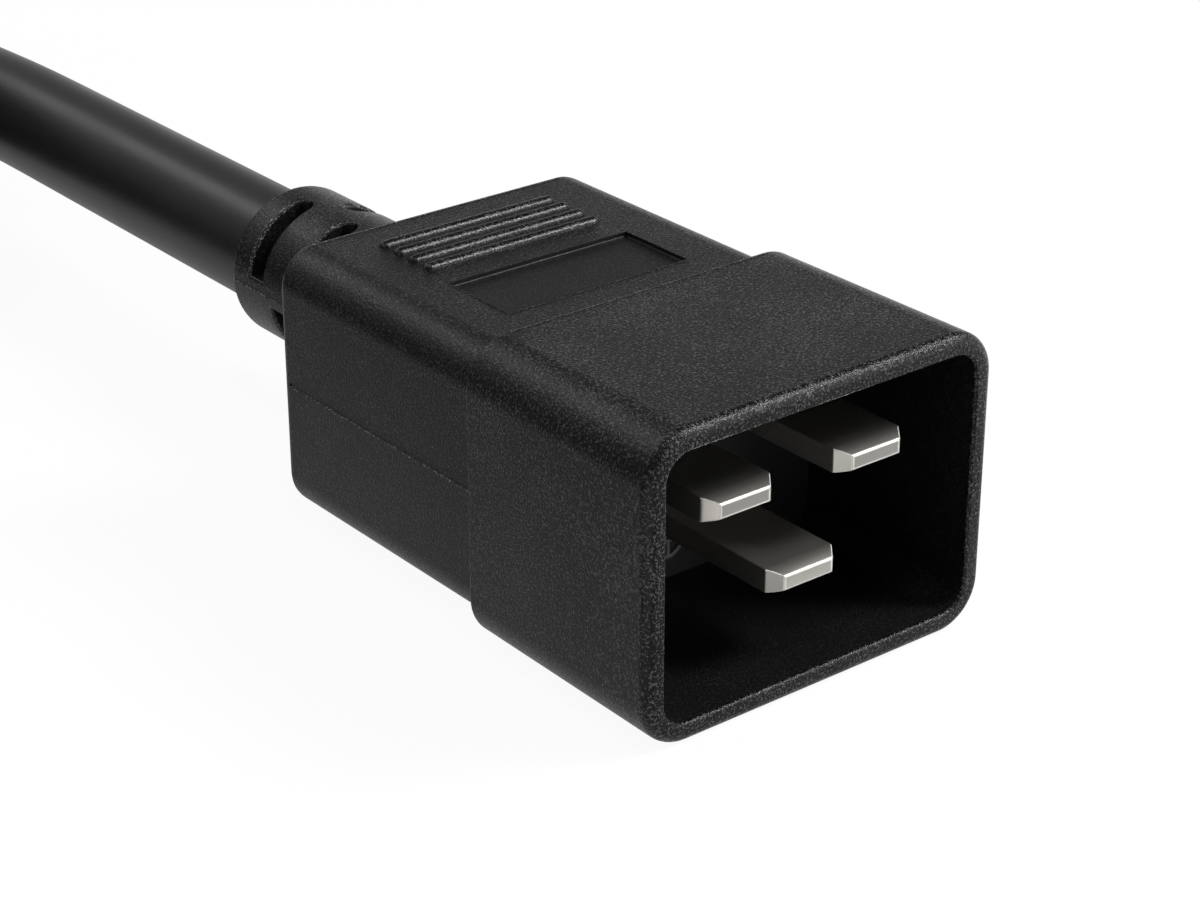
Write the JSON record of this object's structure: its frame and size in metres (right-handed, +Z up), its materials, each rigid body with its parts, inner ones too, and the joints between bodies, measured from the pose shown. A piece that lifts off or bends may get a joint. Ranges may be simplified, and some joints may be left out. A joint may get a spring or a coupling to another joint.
{
  "type": "power plug",
  "caption": "Black moulded appliance plug with flat pins in an open shroud and a slotted strain relief, on a heavy round lead that is coiled and ends in its mating connector.",
  "frame": {"origin": "on the floor, under the middle of the plug without its lead", "axes": "+Z up, -Y out of the shroud's mouth, +Y along the lead where it leaves, +X to the right seen from the mouth"},
  "size_m": [0.1658, 0.2424, 0.027],
  "materials": {
    "moulded_pvc": "fine leather-like mould grain, satin",
    "insert_plastic": "fine matt",
    "nickel_plate": "satin nickel plate on brass",
    "copper": "bare stranded copper",
    "line_insulation": "smooth brown",
    "neutral_insulation": "smooth blue",
    "earth_insulation": "smooth green and yellow",
    "cord_jacket": "smooth satin black jacket",
    "tie_nylon": "smooth black nylon",
    "contact_brass": "rolled brass sheet"
  },
  "bodies": {
    "root": {"plug_body": "moulded_pvc", "contact_bridge": "insert_plastic", "line_pin": "nickel_plate", "line_conductor": "copper", "line_core": "line_insulation", "neutral_pin": "nickel_plate", "neutral_conductor": "copper", "neutral_core": "neutral_insulation", "earth_pin": "nickel_plate", "earth_conductor": "copper", "earth_core": "earth_insulation", "cord_lead": "cord_jacket", "cord_coil": "cord_jacket", "cord_tail": "cord_jacket", "cord_ties": "tie_nylon", "connector_body": "moulded_pvc", "line_contact": "contact_brass", "neutral_contact": "contact_brass", "earth_contact": "contact_brass"}
  },
  "joints": []
}
